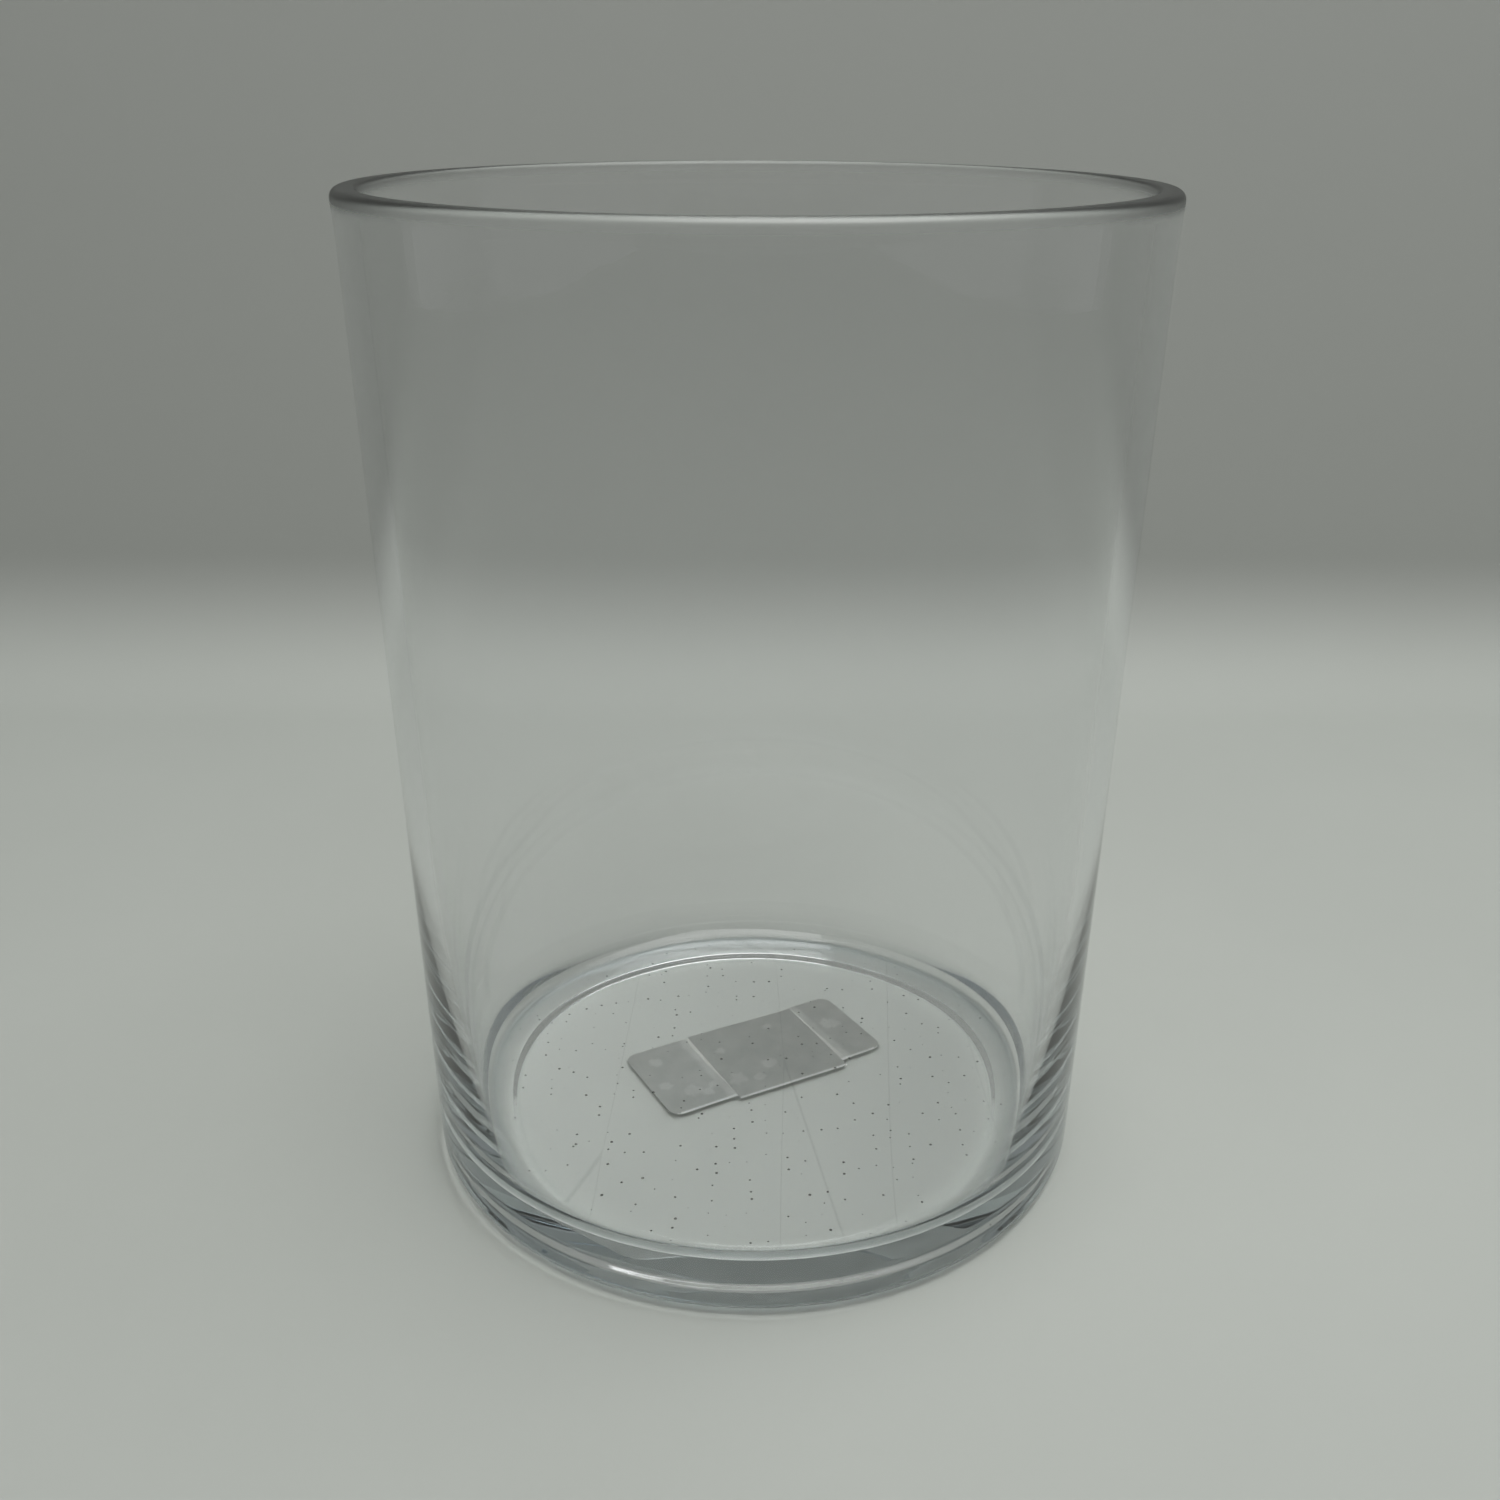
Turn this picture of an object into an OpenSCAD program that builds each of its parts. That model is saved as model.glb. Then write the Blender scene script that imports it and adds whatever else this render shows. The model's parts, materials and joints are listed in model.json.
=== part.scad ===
// Glass cylinder vase with two paper labels on its underside.
// The origin is the centre of the foot, on the surface the vase stands on.
// +Z runs up the vase's axis. All sizes are in millimetres.

/* [Vase body] */
// Outer diameter of the cylinder
outer_d = 150; // [136:1:200]
// Height from the foot to the top of the lip
vase_h = 203; // [140:1:400]
// Thickness of the cylinder's wall above its thickened part
wall = 4.5; // [3:0.1:8]
// How much thicker the wall is where it meets the base
wall_thickening = 2.7; // [0.5:0.1:4]
// Height of the thickened part of the wall, measured from the well's floor
thickened_h = 70; // [40:1:100]
// How far the fire-polished lip stands proud of the wall outside
lip_bead = 0.3; // [0:0.1:0.6]

/* [Base] */
// Thickness of the solid glass base, from the foot to the well's floor
base_h = 9.5; // [6:0.5:20]
// Radius of the blend between the well's floor and the wall
well_corner_r = 6; // [2:0.5:20]
// Radius of the rounded outer edge at the foot
heel_r = 4.5; // [1:0.5:6]
// Width of the flat ring that the vase stands on, inside the heel
foot_ring_w = 9; // [4:0.5:9]
// Width of the sloping shoulder between the foot ring and the panel
shoulder_w = 2.5; // [1:0.5:3]
// How far the panel inside the shoulder is raised above the foot ring
panel_lift = 1.2; // [0.6:0.1:3]

/* [Labels] */
// Length of the long label
long_label_l = 60; // [40:1:64]
// Width of the long label
long_label_w = 28; // [16:1:32]
// Corner radius of the long label
long_label_corner_r = 3; // [1:0.5:6]
// Side of the square label
square_label_w = 30; // [16:1:32]
// How far the square label's centre is along the long label from its centre
square_label_along = 3; // [-6:0.5:6]
// How far the square label's centre is across the long label from its centre
square_label_across = -1; // [-4:0.5:4]
// How far the square label is turned against the long one
square_label_skew = -2; // [-6:0.5:6]
// Thickness of the label paper with its adhesive
label_t = 0.12; // [0.08:0.01:0.3]
// Turn of both labels about the vase's axis
label_turn = 30; // [-180:5:180]
// Distance of the labels' centre behind the vase's axis
label_offset = 11; // [0:1:12]

/* [Hidden] */
$fn = 180;

outer_r = outer_d / 2;
inner_r = outer_r - wall;
lip_r = (wall + lip_bead) / 2;
lip_x = inner_r + lip_r;
lip_z = vase_h - lip_r;
thickened_top = base_h + thickened_h;
well_corner_z = base_h + well_corner_r;
well_corner_x = well_r(well_corner_z) - well_corner_r;
heel_x = outer_r - heel_r;
foot_inner_r = heel_x - foot_ring_w;
panel_r = foot_inner_r - shoulder_w;
thickened_steps = 12;
overcut = 1;

// Radius of the well at a height in the thickened part of the wall, which ends in the bore
function well_r(z) = inner_r - wall_thickening * pow((thickened_top - z) / thickened_h, 2);

glass_tint = [0.80, 0.87, 0.87, 0.35];
paper_grey = [0.62, 0.62, 0.60];
paper_white = [0.74, 0.74, 0.72];

// Half section of the outside: a rounded heel, a straight side, a round lip
module outside_section() {
    square([heel_x, lip_z]);
    translate([0, heel_r]) square([outer_r, lip_z - heel_r]);
    translate([heel_x, heel_r]) circle(heel_r);
    translate([lip_x, lip_z]) circle(lip_r);
}

// Half section of the well: straight bore, thickened wall, and a blended corner at the floor
module well_section() {
    rise = (thickened_top - well_corner_z) / thickened_steps;
    translate([0, thickened_top]) square([inner_r, vase_h + overcut - thickened_top]);
    polygon([
        [0, thickened_top],
        [0, well_corner_z],
        for (step = [0:thickened_steps])
            [well_r(well_corner_z + step * rise), well_corner_z + step * rise]
    ]);
    translate([0, base_h]) square([well_corner_x, well_corner_r]);
    translate([well_corner_x, well_corner_z]) circle(well_corner_r);
}

// Half section of the hollow under the base, from the foot ring to the panel
module underside_section() {
    polygon([
        [0, -overcut],
        [foot_inner_r, -overcut],
        [foot_inner_r, 0],
        [panel_r, panel_lift],
        [0, panel_lift]
    ]);
}

module label_place(top_z) {
    translate([0, label_offset, top_z - label_t])
        rotate([0, 0, label_turn])
            children();
}

module glass_vase() {
    color(glass_tint)
        rotate_extrude()
            difference() {
                union() {
                    difference() {
                        outside_section();
                        well_section();
                    }
                    translate([lip_x, lip_z]) circle(lip_r);
                }
                underside_section();
            }
}

// Stuck first, so it lies between the glass and the long label
module square_label() {
    color(paper_grey)
        label_place(panel_lift)
            translate([square_label_along, square_label_across, 0])
                rotate([0, 0, square_label_skew])
                    linear_extrude(label_t)
                        square(square_label_w, center = true);
}

module rounded_rectangle(length, width, corner_r) {
    square([length - 2 * corner_r, width], center = true);
    square([length, width - 2 * corner_r], center = true);
    for (side_x = [-1, 1], side_y = [-1, 1])
        translate([side_x * (length / 2 - corner_r), side_y * (width / 2 - corner_r)])
            circle(corner_r, $fn = 32);
}

// Stuck over the square label, and so one label's thickness lower
module long_label() {
    color(paper_white)
        label_place(panel_lift - label_t)
            linear_extrude(label_t)
                rounded_rectangle(long_label_l, long_label_w, long_label_corner_r);
}

glass_vase();
square_label();
long_label();
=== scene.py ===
"""Glass cylinder vase with two paper labels stuck under its base, on a pale table.

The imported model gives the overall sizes, and the rest of the section's and the labels' sizes
are named below. Everything here is in metres, in the model's frame: the origin is the centre
of the foot, +Z is up, and the camera looks along +Y.
"""

import json
import math

import bpy
from mathutils import Euler, Matrix, Vector, noise


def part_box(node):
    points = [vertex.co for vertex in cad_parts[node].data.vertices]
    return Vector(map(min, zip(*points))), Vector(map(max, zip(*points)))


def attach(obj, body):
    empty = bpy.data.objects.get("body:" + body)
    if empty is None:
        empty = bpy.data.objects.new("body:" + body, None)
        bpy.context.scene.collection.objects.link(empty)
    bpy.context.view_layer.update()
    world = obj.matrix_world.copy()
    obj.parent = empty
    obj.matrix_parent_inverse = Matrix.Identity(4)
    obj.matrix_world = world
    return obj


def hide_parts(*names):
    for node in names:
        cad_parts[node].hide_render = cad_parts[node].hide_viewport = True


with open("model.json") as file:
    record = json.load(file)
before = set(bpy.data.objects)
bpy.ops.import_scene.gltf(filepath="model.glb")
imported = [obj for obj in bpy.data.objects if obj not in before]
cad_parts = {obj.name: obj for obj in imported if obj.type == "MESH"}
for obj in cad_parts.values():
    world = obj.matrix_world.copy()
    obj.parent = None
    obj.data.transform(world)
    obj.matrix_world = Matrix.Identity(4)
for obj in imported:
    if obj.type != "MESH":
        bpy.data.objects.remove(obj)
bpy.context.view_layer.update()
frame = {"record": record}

MM = 0.001

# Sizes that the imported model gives
MOUNTS = {mount["name"]: mount for mount in frame["record"]["mounts"]}
VASE_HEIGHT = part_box("glass_vase")[1][2]
INNER_R = MOUNTS["mouth"]["dims"]["r_mm"] * MM
LABEL_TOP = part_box("square_label")[1][2]
LABEL_THICK = LABEL_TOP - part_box("square_label")[0][2]

# The wall and the lip, which flares over its last 9 mm and is worn to satin at its top
WALL = 4.5 * MM
OUTER_R = INNER_R + WALL
LIP_BULGE = 0.25 * MM
LIP_BOTTOM = VASE_HEIGHT - 9 * MM
LIP_CURVE_R = 3 * MM
LIP_OUTER_R = 1.7 * MM
LIP_INNER_R = 1 * MM
SATIN_BOTTOM = VASE_HEIGHT - WALL * 0.6
SATIN_TOP = VASE_HEIGHT - WALL * 0.4
LIP_ROUGHNESS = 0.35

# The base: the wall thickens towards it, and its underside is a foot ring round a raised panel
THICKENING = 2.7 * MM
THICKENED_HEIGHT = 70 * MM
BASE_THICK = 9.5 * MM
WELL_CORNER_R = 6 * MM
HEEL_R = 4.5 * MM
FOOT_INNER_R = 61.5 * MM
PANEL_R = 59 * MM
PANEL_LIFT = LABEL_TOP
SHOULDER_R = 0.9 * MM

# The lathe: the longest edge of the section, the halvings that surely reach it, and the steps
LONGEST_EDGE = 3 * MM
HALVINGS = 7
SPIN_STEPS = 256

# How far the well's inside flows up and down: over wide patches, and less over small ones
FLOW_DEPTH = 0.015 * MM
FLOW_PATCH = 14 * MM
RIPPLE_PATCH = 5 * MM
RIPPLE_SHARE = 0.4

# Dust and hairlines on the well's floor
DUST_CELL = 4 * MM
DUST_R = 0.35 * MM
HAIRLINE_APART = 30 * MM

# The labels: both are turned nearly alike, and stuck a little behind the middle of the base
LABEL_TURN = math.radians(30)
LABEL_CENTRE = Vector((0, 11 * MM, 0))
LONG_LABEL = (60 * MM, 28 * MM)
LONG_LABEL_CORNER_R = 3 * MM
SQUARE_LABEL = (30 * MM, 30 * MM)
SQUARE_LABEL_SHIFT = (3 * MM, -1 * MM)
SQUARE_LABEL_SKEW = math.radians(-2)
LABEL_STEP = 0.5 * MM
# Width of the white strip along each label's near edge, a painted highlight where that edge catches
# the light
LIT_EDGE_WIDTH = 0.6 * MM
# The paper is thinner than the model's plate, so that the long label can bend and stay in it
PAPER_THICK = LABEL_THICK * 0.8
BRIDGE_DROP = LABEL_THICK * 1.2
# The paper reaches this far into the glass, because gum leaves no air between them
GUM_BITE = 0.01 * MM

# Glass never touches a table closely: a thin layer of air stays under the foot
AIR_UNDER_FOOT = 0.1 * MM

# Where the soft light hangs, and how the camera stands
SOFTBOX_PLACE = Vector((0.15, -0.05, 1.1))
CAMERA_PLACE = (0, -0.302, 0.2208)
CAMERA_TILT, CAMERA_TURN, CAMERA_ROLL = (math.radians(angle) for angle in (90 - 29.26, 0.04, 0.2))


def linear(code, alpha=1.0):
    """An sRGB hex colour as the linear colour that Blender's sockets take."""
    channels = [int(code[i : i + 2], 16) / 255 for i in (1, 3, 5)]
    bent = [c / 12.92 if c <= 0.04045 else ((c + 0.055) / 1.055) ** 2.4 for c in channels]
    return (*bent, alpha)


def add_node(tree, kind, settings=None, links=None):
    """Adds a node. settings holds its properties and socket values, links what feeds its sockets."""
    made = tree.nodes.new(kind)
    for key, value in (settings or {}).items():
        if isinstance(key, str) and hasattr(made, key):
            setattr(made, key, value)
        else:
            made.inputs[key].default_value = value
    for key, source in (links or {}).items():
        tree.links.new(source, made.inputs[key])
    return made


def new_material(name):
    """An empty material with its output node."""
    made = bpy.data.materials.new(name)
    made.use_nodes = True
    made.node_tree.nodes.clear()
    return made, made.node_tree, add_node(made.node_tree, "ShaderNodeOutputMaterial")


# ---------------------------------------------------------------- materials


def dust_and_hairlines(tree, place):
    """How much dirt lies at each place of the well's floor: dust specks up to 0.7 mm wide, one
    to each 4 mm cell at most, and long hairlines about 30 mm apart where things were dragged."""
    cells = add_node(
        tree,
        "ShaderNodeTexVoronoi",
        {"voronoi_dimensions": "2D", "feature": "F1", "Scale": 1 / DUST_CELL},
        {"Vector": place},
    )
    random = add_node(tree, "ShaderNodeSeparateColor", {}, {"Color": cells.outputs["Color"]})
    speck_r = add_node(
        tree,
        "ShaderNodeMapRange",
        {"From Min": 0.4, "From Max": 1.0, "To Min": 0.0, "To Max": DUST_R / DUST_CELL},
        {"Value": random.outputs["Red"]},
    )
    specks = add_node(
        tree,
        "ShaderNodeMath",
        {"operation": "LESS_THAN"},
        {0: cells.outputs["Distance"], 1: speck_r.outputs["Result"]},
    )
    dragged = add_node(
        tree,
        "ShaderNodeMapping",
        {"Rotation": (0, 0, math.radians(8)), "Scale": (1, 0.06, 1)},
        {"Vector": place},
    )
    drag_cells = add_node(
        tree,
        "ShaderNodeTexVoronoi",
        {"voronoi_dimensions": "2D", "feature": "DISTANCE_TO_EDGE", "Scale": 1 / HAIRLINE_APART},
        {"Vector": dragged.outputs[0]},
    )
    hairlines = add_node(
        tree,
        "ShaderNodeMapRange",
        {"From Min": 0.001, "From Max": 0.005, "To Min": 0.16, "To Max": 0.0},
        {"Value": drag_cells.outputs["Distance"]},
    )
    dirt = add_node(
        tree,
        "ShaderNodeMath",
        {"operation": "MAXIMUM"},
        {0: specks.outputs[0], 1: hairlines.outputs[0]},
    )
    floor = add_node(tree, "ShaderNodeAttribute", {"attribute_name": "well_floor"})
    on_floor = add_node(
        tree,
        "ShaderNodeMath",
        {"operation": "MULTIPLY"},
        {0: dirt.outputs[0], 1: floor.outputs["Fac"]},
    )
    return on_floor.outputs[0]


def clear_soda_lime_glass():
    """Soda-lime glass, blown in a mould and fire-polished: clear through the wall and
    blue-grey only where the eye looks along thick glass, as at the base and the lip, with
    faint waves, water marks, and dust and hairlines on the well's floor."""
    made, tree, output = new_material("clear_soda_lime_glass")
    place = add_node(tree, "ShaderNodeTexCoord").outputs["Object"]

    # Waves left by the mould, about 30 mm long and taller than wide
    stretched = add_node(tree, "ShaderNodeMapping", {"Scale": (1, 1, 0.35)}, {"Vector": place})
    waves = add_node(
        tree,
        "ShaderNodeTexNoise",
        {"Scale": 1 / (30 * MM), "Detail": 1.0, "Roughness": 0.4},
        {"Vector": stretched.outputs[0]},
    )
    bump = add_node(
        tree,
        "ShaderNodeBump",
        {"Strength": 0.25, "Distance": 0.05 * MM},
        {"Height": waves.outputs["Fac"]},
    )

    # Water marks: patches about 40 mm across that are hardly duller than the rest
    marks = add_node(
        tree, "ShaderNodeTexNoise", {"Scale": 1 / (40 * MM), "Detail": 6.0}, {"Vector": place}
    )
    dull = add_node(
        tree,
        "ShaderNodeMapRange",
        {"From Min": 0.52, "From Max": 0.75, "To Min": 0.0, "To Max": 0.035},
        {"Value": marks.outputs["Fac"]},
    )
    # The lip is worn to satin, so it softens what shows through it
    lip = add_node(tree, "ShaderNodeAttribute", {"attribute_name": "satin_lip"})
    satin = add_node(
        tree, "ShaderNodeMath", {"operation": "MULTIPLY", 1: LIP_ROUGHNESS}, {0: lip.outputs["Fac"]}
    )
    rough = add_node(
        tree,
        "ShaderNodeMath",
        {"operation": "MAXIMUM"},
        {0: dull.outputs["Result"], 1: satin.outputs[0]},
    )
    surface = add_node(
        tree,
        "ShaderNodeMix",
        {"data_type": "RGBA", 6: linear("#FDFDFD"), 7: linear("#3A3532")},
        {0: dust_and_hairlines(tree, place)},
    )
    glass = add_node(
        tree,
        "ShaderNodeBsdfPrincipled",
        {"IOR": 1.52, "Transmission Weight": 1.0},
        {
            "Base Color": surface.outputs[2],
            "Roughness": rough.outputs[0],
            "Normal": bump.outputs["Normal"],
        },
    )
    tint = add_node(
        tree, "ShaderNodeVolumeAbsorption", {"Color": linear("#D4DBDE"), "Density": 14.5}
    )
    tree.links.new(glass.outputs[0], output.inputs["Surface"])
    tree.links.new(tint.outputs[0], output.inputs["Volume"])
    return made


def label_paper(name, wet, dry, lit_edge):
    """Machine-finished label paper seen from its gummed side: grey where the gum wets the
    glass, a little paler over trapped air, and white along its near edge, where the paper shows
    and a highlight is painted where that edge catches the light, with fibres drawn 0.7 mm
    wide so that they show. The attribute contact is 1 where it is wetted, 0.5 over air and 0
    along the painted highlight at the near edge."""
    made, tree, output = new_material(name)
    place = add_node(tree, "ShaderNodeTexCoord").outputs["Object"]
    contact = add_node(tree, "ShaderNodeAttribute", {"attribute_name": "contact"})
    fibres = add_node(
        tree, "ShaderNodeTexNoise", {"Scale": 1 / (MM * 2 / 3), "Detail": 4.0}, {"Vector": place}
    )
    # Gum spread unevenly, in patches about 6 mm across
    cloud = add_node(
        tree, "ShaderNodeTexNoise", {"Scale": 1 / (5.56 * MM), "Detail": 5.0}, {"Vector": place}
    )
    wetted = add_node(
        tree,
        "ShaderNodeMapRange",
        {"From Min": 0.5, "From Max": 1.0},
        {"Value": contact.outputs["Fac"]},
    )
    inside = add_node(
        tree,
        "ShaderNodeMapRange",
        {"From Min": 0.0, "From Max": 0.5},
        {"Value": contact.outputs["Fac"]},
    )
    gummed = add_node(
        tree,
        "ShaderNodeMix",
        {"data_type": "RGBA", 6: linear(dry), 7: linear(wet)},
        {0: wetted.outputs["Result"]},
    )
    wetting = add_node(
        tree,
        "ShaderNodeMix",
        {"data_type": "RGBA", 6: linear(lit_edge)},
        {0: inside.outputs["Result"], 7: gummed.outputs[2]},
    )
    shade = add_node(
        tree,
        "ShaderNodeMapRange",
        {"From Min": 0.3, "From Max": 0.7, "To Min": 0.90, "To Max": 1.06},
        {"Value": cloud.outputs["Fac"]},
    )
    toned = add_node(
        tree,
        "ShaderNodeHueSaturation",
        {},
        {"Color": wetting.outputs[2], "Value": shade.outputs["Result"]},
    )
    bump = add_node(
        tree,
        "ShaderNodeBump",
        {"Strength": 0.3, "Distance": 0.05 * MM},
        {"Height": fibres.outputs["Fac"]},
    )
    paper = add_node(
        tree,
        "ShaderNodeBsdfPrincipled",
        {"Roughness": 0.75, "Specular IOR Level": 0.3},
        {"Base Color": toned.outputs[0], "Normal": bump.outputs["Normal"]},
    )
    tree.links.new(paper.outputs[0], output.inputs["Surface"])
    return made


def painted_table():
    """Satin white paint on a board that curves up into the shade behind; that shade is painted
    into its colour, greyer over its first 50 mm of rise, with cloudy wear that hardly shows."""
    made, tree, output = new_material("satin_painted_board")
    place = add_node(tree, "ShaderNodeTexCoord").outputs["Object"]
    cloud = add_node(
        tree, "ShaderNodeTexNoise", {"Scale": 1 / (111 * MM), "Detail": 4.0}, {"Vector": place}
    )
    worn = add_node(
        tree,
        "ShaderNodeMix",
        {"data_type": "RGBA", 6: linear("#C5C9C3"), 7: linear("#CCD0CA")},
        {0: cloud.outputs["Fac"]},
    )
    # Painted shade: the colour turns greyer with height over the first 50 mm, where the board curves
    # up away from the light
    height = add_node(tree, "ShaderNodeSeparateXYZ", {}, {"Vector": place})
    painted_shade = add_node(
        tree,
        "ShaderNodeMapRange",
        {"interpolation_type": "SMOOTHSTEP", "From Min": 0.0, "From Max": 50 * MM},
        {"Value": height.outputs["Z"]},
    )
    colour = add_node(
        tree,
        "ShaderNodeMix",
        {"data_type": "RGBA", 7: linear("#B4B6B2")},
        {0: painted_shade.outputs["Result"], 6: worn.outputs[2]},
    )
    paint = add_node(
        tree,
        "ShaderNodeBsdfPrincipled",
        {"Roughness": 0.65, "Specular IOR Level": 0.3},
        {"Base Color": colour.outputs[2]},
    )
    # A stage flat with no back: from behind or below it isn't there, so it hides no side
    side = add_node(tree, "ShaderNodeNewGeometry")
    absent = add_node(tree, "ShaderNodeBsdfTransparent")
    one_sided = add_node(
        tree,
        "ShaderNodeMixShader",
        {},
        {0: side.outputs["Backfacing"], 1: paint.outputs[0], 2: absent.outputs[0]},
    )
    tree.links.new(one_sided.outputs[0], output.inputs["Surface"])
    return made


# ---------------------------------------------------------------- modelling


def deselect_all():
    """Leaves edit mode and selects nothing, as before each new piece."""
    if bpy.context.object and bpy.context.object.mode != "OBJECT":
        bpy.ops.object.mode_set(mode="OBJECT")
    bpy.ops.object.select_all(action="DESELECT")


def pick(piece, kind, test):
    """In edit mode, selects just the vertices or edges that pass the test."""
    bpy.ops.mesh.select_all(action="DESELECT")
    bpy.ops.object.mode_set(mode="OBJECT")
    for element in getattr(piece.data, kind):
        element.select = test(element)
    bpy.ops.object.mode_set(mode="EDIT")


def near(vertex, radius, height):
    """Whether the vertex of the section is at this radius and height."""
    return (vertex.co - Vector((radius, 0, height))).length < 1e-6


def edge_length(piece, edge):
    start, end = (piece.data.vertices[index].co for index in edge.vertices)
    return (start - end).length


def smooth(edge0, edge1, value):
    """0 below edge0, 1 above edge1, and a smooth ramp between."""
    t = min(1, max(0, (value - edge0) / (edge1 - edge0)))
    return t * t * (3 - 2 * t)


def draw_section():
    """Draws half the vase's section as a line from the axis, under the base, up the outside,
    over the lip and down the well to the axis again."""
    deselect_all()
    bpy.ops.mesh.primitive_plane_add(size=MM)
    section = bpy.context.object
    bpy.ops.object.mode_set(mode="EDIT")
    bpy.ops.mesh.select_mode(type="VERT")
    bpy.ops.mesh.merge(type="CENTER")
    bpy.ops.transform.translate(value=(0, 0, PANEL_LIFT))
    corners = [
        (0, PANEL_LIFT),
        (PANEL_R, PANEL_LIFT),
        (FOOT_INNER_R, 0),
        (OUTER_R, 0),
        (OUTER_R, LIP_BOTTOM),
        (OUTER_R + LIP_BULGE, VASE_HEIGHT),
        (INNER_R, VASE_HEIGHT),
        (INNER_R, BASE_THICK),
        (0, BASE_THICK),
    ]
    for (r0, z0), (r1, z1) in zip(corners, corners[1:]):
        bpy.ops.mesh.extrude_region_move(TRANSFORM_OT_translate={"value": (r1 - r0, 0, z1 - z0)})
    return section


def round_corner(section, radius, height, corner_r, segments):
    """Rounds one corner of the section."""
    bpy.ops.mesh.select_mode(type="VERT")
    pick(section, "vertices", lambda v: near(v, radius, height))
    bpy.ops.mesh.bevel(offset=corner_r, segments=segments, affect="VERTICES", clamp_overlap=False)


def thicken_wall(vase):
    """Draws the well in towards its floor, where the wall of a blown vase is thicker, and
    lets its surface flow a little, as glass does that cooled against no mould."""
    floor = vase.data.attributes.new("well_floor", "FLOAT", "POINT")
    lip = vase.data.attributes.new("satin_lip", "FLOAT", "POINT")
    for vertex in vase.data.vertices:
        x, y, z = vertex.co
        radius = math.hypot(x, y)
        lip.data[vertex.index].value = smooth(SATIN_BOTTOM, SATIN_TOP, z)
        if z < BASE_THICK - 0.01 * MM or radius > INNER_R + WALL / 2:
            continue
        depth = max(0, 1 - (z - BASE_THICK) / THICKENED_HEIGHT)
        drawn_in = 1 - THICKENING * depth**2 / INNER_R
        ripple = RIPPLE_SHARE * noise.noise(vertex.co / RIPPLE_PATCH)
        flow = noise.noise(vertex.co / FLOW_PATCH) + ripple
        vertex.co = (x * drawn_in, y * drawn_in, z + FLOW_DEPTH * flow * depth)
        floor.data[vertex.index].value = 1 if z < BASE_THICK + 0.1 * MM else 0


def blow_vase():
    """The vase, spun from its section, then given the small unevenness of blown glass."""
    section = draw_section()
    round_corner(section, OUTER_R + LIP_BULGE, VASE_HEIGHT, LIP_OUTER_R, 8)
    round_corner(section, INNER_R, VASE_HEIGHT, LIP_INNER_R, 8)
    round_corner(section, OUTER_R, LIP_BOTTOM, LIP_CURVE_R, 5)
    round_corner(section, INNER_R, BASE_THICK, WELL_CORNER_R, 12)
    round_corner(section, OUTER_R, 0, HEEL_R, 12)
    round_corner(section, FOOT_INNER_R, 0, SHOULDER_R, 5)
    round_corner(section, PANEL_R, PANEL_LIFT, SHOULDER_R, 5)
    bpy.ops.mesh.select_mode(type="EDGE")
    for _ in range(HALVINGS):
        pick(section, "edges", lambda edge: edge_length(section, edge) > LONGEST_EDGE)
        bpy.ops.mesh.subdivide(number_cuts=1)
    bpy.ops.mesh.select_all(action="SELECT")
    bpy.ops.mesh.spin(steps=SPIN_STEPS, angle=math.tau, center=(0, 0, 0), axis=(0, 0, 1))
    bpy.ops.mesh.select_all(action="SELECT")
    bpy.ops.mesh.remove_doubles(threshold=0.002 * MM)
    bpy.ops.mesh.select_all(action="SELECT")
    bpy.ops.mesh.normals_make_consistent(inside=False)
    bpy.ops.object.mode_set(mode="OBJECT")
    thicken_wall(section)
    bpy.ops.object.shade_smooth()
    return section


def finish_piece(piece, name, node, material):
    """Names a piece, gives it its material, hangs it on the root body and hides the model
    node that it replaces.
    """
    piece.name = name
    piece.data.name = name
    piece.data.materials.clear()
    piece.data.materials.append(material)
    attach(piece, "root")
    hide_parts(node)


def label_space(x, y):
    """A place on the labels, from their own middle and along their own edges, in the frame."""
    return LABEL_CENTRE + Matrix.Rotation(LABEL_TURN, 3, "Z") @ Vector((x, y, 0))


def rounded_sheet(size, corner_r, step):
    """A flat sheet of small faces, with its corner faces drawn in to a quarter circle."""
    deselect_all()
    counts = [max(2, round(side / step)) for side in size]
    bpy.ops.mesh.primitive_grid_add(x_subdivisions=counts[0], y_subdivisions=counts[1], size=1)
    sheet = bpy.context.object
    bpy.ops.object.mode_set(mode="EDIT")
    bpy.ops.transform.resize(value=(size[0], size[1], 1))
    bpy.ops.object.mode_set(mode="OBJECT")
    half = Vector((size[0] / 2, size[1] / 2))
    for vertex in sheet.data.vertices:
        over = [abs(vertex.co[axis]) - (half[axis] - corner_r) for axis in (0, 1)]
        if corner_r and min(over) > 0:
            squeeze = max(over) / math.hypot(*over)
            for axis in (0, 1):
                side = math.copysign(1, vertex.co[axis])
                vertex.co[axis] = side * (half[axis] - corner_r + over[axis] * squeeze)
    return sheet


# Bubbles of air under the labels: place along and across the long label, and radius, in mm
LONG_BUBBLES = [
    (24, 2, 2.6), (-26, -2, 1.6), (-21, -7, 2.2), (-18, -9, 1.5), (-15, -7, 1.6), (-24, 8, 1.8)
]
SQUARE_BUBBLES = [(-9, -8, 2.4), (1, -6, 2.0), (-4, -10, 1.6), (9, 9, 1.4), (-7, 5, 1.2)]
# How much of the gum a bubble hides, and the band of air where the long label bridges down
BUBBLE_PALENESS = 0.8
BAND_PALENESS = 0.9


def ragged(x, y, patch):
    """Unevenness from -1 to 1 over patches of a size in mm."""
    return noise.noise(Vector((x / patch, y / patch, patch)))


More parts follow.
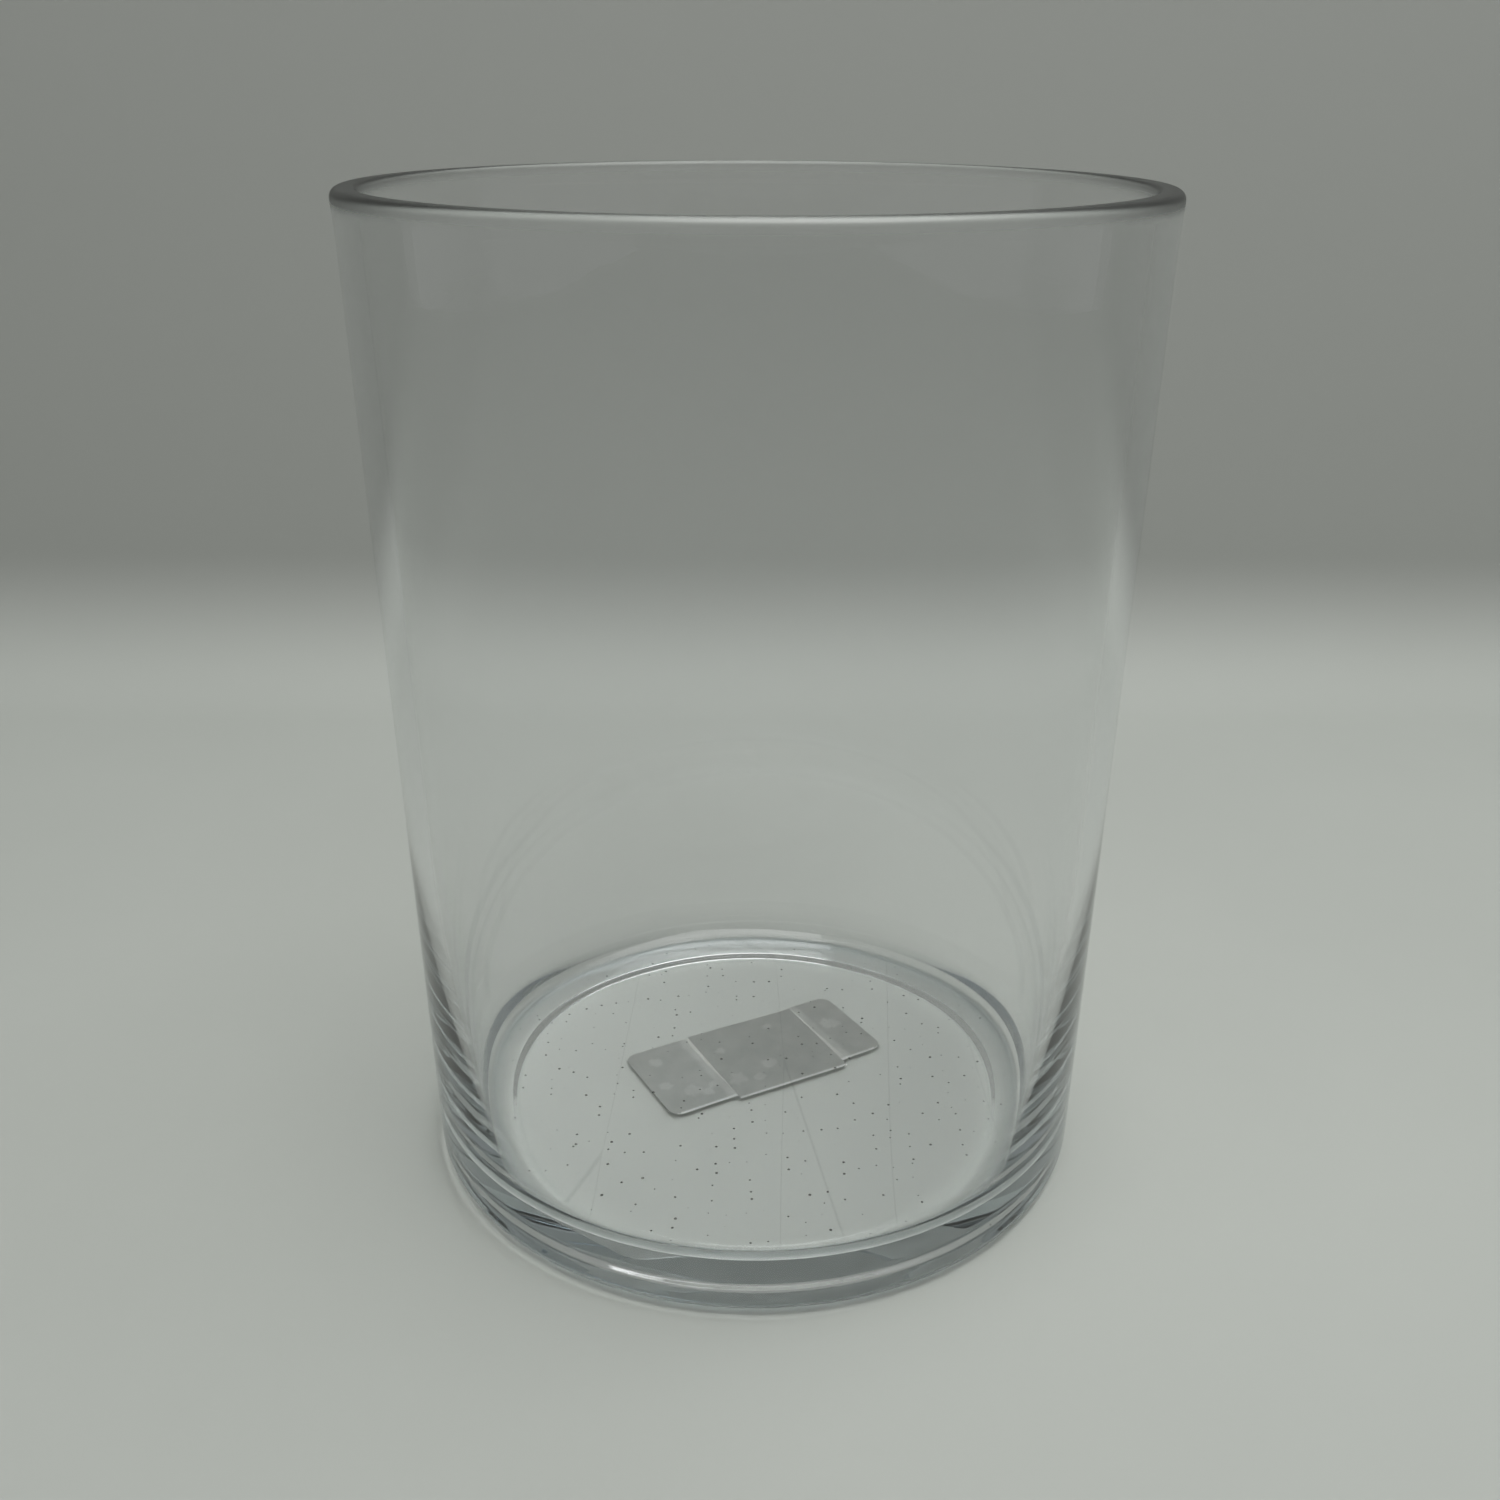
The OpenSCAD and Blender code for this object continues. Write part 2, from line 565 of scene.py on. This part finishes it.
def bubble_air(x, y, bubbles):
    """How much of the gum bubbles of air hide at this place, from 0 to 1."""
    air = 0
    for bx, by, radius in bubbles:
        off = math.hypot(x - bx, y - by) / radius + 0.4 * ragged(x, y, 2) + 0.25 * ragged(x, y, 0.8)
        air = max(air, 1 - smooth(0.75, 1.1, off))
    return BUBBLE_PALENESS * air


def press_square_label(x, y):
    """The square label lies flat on the glass. Gives its air and how far it hangs below, in mm."""
    return bubble_air(x, y, SQUARE_BUBBLES), 0


def press_long_label(x, y):
    """The long label lies under the square one and bridges its two ends, where air stays."""
    beyond = abs(x - SQUARE_LABEL_SHIFT[0] / MM) - SQUARE_LABEL[0] / 2 / MM
    band = 1 - smooth(1.8, 3.2, beyond + 0.5 * ragged(x, y, 3))
    hangs = 1 - smooth(0.2, 0.6, beyond)
    return max(BAND_PALENESS * band, bubble_air(x, y, LONG_BUBBLES)), hangs * BRIDGE_DROP / MM


def stick_label(name, node, size, centre, skew, corner_r, press, material):
    """A paper label under the base. press tells the air behind each place, and its drop."""
    sheet = rounded_sheet(size, corner_r, LABEL_STEP)
    contact = sheet.data.attributes.new("contact", "FLOAT", "POINT")
    turn = Matrix.Rotation(skew, 2)
    for vertex in sheet.data.vertices:
        # Only the near edge gets the white strip: a painted highlight where that edge catches the
        # light
        at_lit_edge = vertex.co.y < -size[1] / 2 + LIT_EDGE_WIDTH
        flat = turn @ vertex.co.xy + Vector(centre)
        air, hangs = press(flat.x / MM, flat.y / MM)
        contact.data[vertex.index].value = 0 if at_lit_edge else 1 - air / 2
        place = label_space(flat.x, flat.y)
        vertex.co = (place.x, place.y, LABEL_TOP + GUM_BITE - hangs * MM)
    solid = sheet.modifiers.new("paper", "SOLIDIFY")
    solid.thickness = PAPER_THICK
    solid.offset = -1
    bpy.ops.object.modifier_apply(modifier=solid.name)
    bpy.ops.object.shade_smooth_by_angle(angle=math.radians(40))
    finish_piece(sheet, name, node, material)


finish_piece(
    blow_vase(), "blown_glass_vase", "glass_vase", clear_soda_lime_glass()
)
# The last colour of each label paints the highlight along its near edge
stick_label(
    "square_paper_label", "square_label",
    SQUARE_LABEL, SQUARE_LABEL_SHIFT, SQUARE_LABEL_SKEW, 0,
    press_square_label, label_paper("square_label_paper", "#B2B3AD", "#C6C7C1", "#F4F4F1"),
)
stick_label(
    "long_paper_label", "long_label",
    LONG_LABEL, (0, 0), 0, LONG_LABEL_CORNER_R,
    press_long_label, label_paper("long_label_paper", "#B9BAB4", "#CDCEC8", "#F4F4F1"),
)

# ---------------------------------------------------------------- stage


def sweep_backdrop():
    """A table that curves up behind the vase into a plain backdrop."""
    table_half, curve_start, curve_r, top = 1.5, 0.25, 0.05, 0.9
    deselect_all()
    middle = (0, curve_start - table_half, -AIR_UNDER_FOOT)
    bpy.ops.mesh.primitive_plane_add(size=2 * table_half, location=middle)
    table = bpy.context.object
    bpy.ops.object.mode_set(mode="EDIT")
    bpy.ops.mesh.select_mode(type="EDGE")
    ends = table.data.vertices
    pick(table, "edges", lambda edge: all(ends[i].co.y > table_half - MM for i in edge.vertices))
    bpy.ops.mesh.spin(
        steps=16, angle=-math.pi / 2, center=(0, curve_start, curve_r), axis=(1, 0, 0)
    )
    bpy.ops.mesh.extrude_region_move(TRANSFORM_OT_translate={"value": (0, 0, top - curve_r)})
    bpy.ops.mesh.select_all(action="SELECT")
    bpy.ops.mesh.normals_make_consistent(inside=False)
    bpy.ops.object.mode_set(mode="OBJECT")
    bpy.ops.object.transform_apply(location=True, rotation=True, scale=True)
    faces = table.data.polygons
    if max(faces, key=lambda face: face.area).normal.z < 0:
        table.data.flip_normals()
    bpy.ops.object.shade_smooth()
    table.name = "table_and_backdrop"
    table.data.materials.append(painted_table())


def light_stage():
    """One large soft light overhead, and an even dim room."""
    world = bpy.data.worlds.new("room")
    bpy.context.scene.world = world
    world.use_nodes = True
    background = world.node_tree.nodes["Background"]
    background.inputs["Color"].default_value = linear("#9B9C9B")
    background.inputs["Strength"].default_value = 0.93
    lamp = bpy.data.lights.new("overhead_softbox", "AREA")
    lamp.size = 0.8
    lamp.energy = 6.6
    softbox = bpy.data.objects.new("overhead_softbox", lamp)
    softbox.location = SOFTBOX_PLACE
    softbox.rotation_euler = SOFTBOX_PLACE.to_track_quat("Z", "Y").to_euler()
    bpy.context.collection.objects.link(softbox)


def place_camera():
    """The eye stands about 30 cm in front of the vase and looks down into it."""
    lens = bpy.data.cameras.new("camera")
    lens.sensor_width = 36
    lens.lens = 36.26
    lens.shift_x = -0.0025
    lens.shift_y = 0.11
    lens.clip_start = 0.01
    camera = bpy.data.objects.new("camera", lens)
    camera.location = CAMERA_PLACE
    unrolled = Euler((CAMERA_TILT, 0, CAMERA_TURN)).to_matrix()
    camera.rotation_euler = (unrolled @ Matrix.Rotation(CAMERA_ROLL, 3, "Z")).to_euler()
    bpy.context.collection.objects.link(camera)
    bpy.context.scene.camera = camera


sweep_backdrop()
light_stage()
place_camera()

scene = bpy.context.scene
scene.view_settings.view_transform = "Standard"
# Light that crosses the thick base many times is what makes the floor under it pale
scene.cycles.max_bounces = 48
scene.cycles.transmission_bounces = 48
scene.cycles.glossy_bounces = 16
scene.cycles.blur_glossy = 0
scene.cycles.sample_clamp_indirect = 0
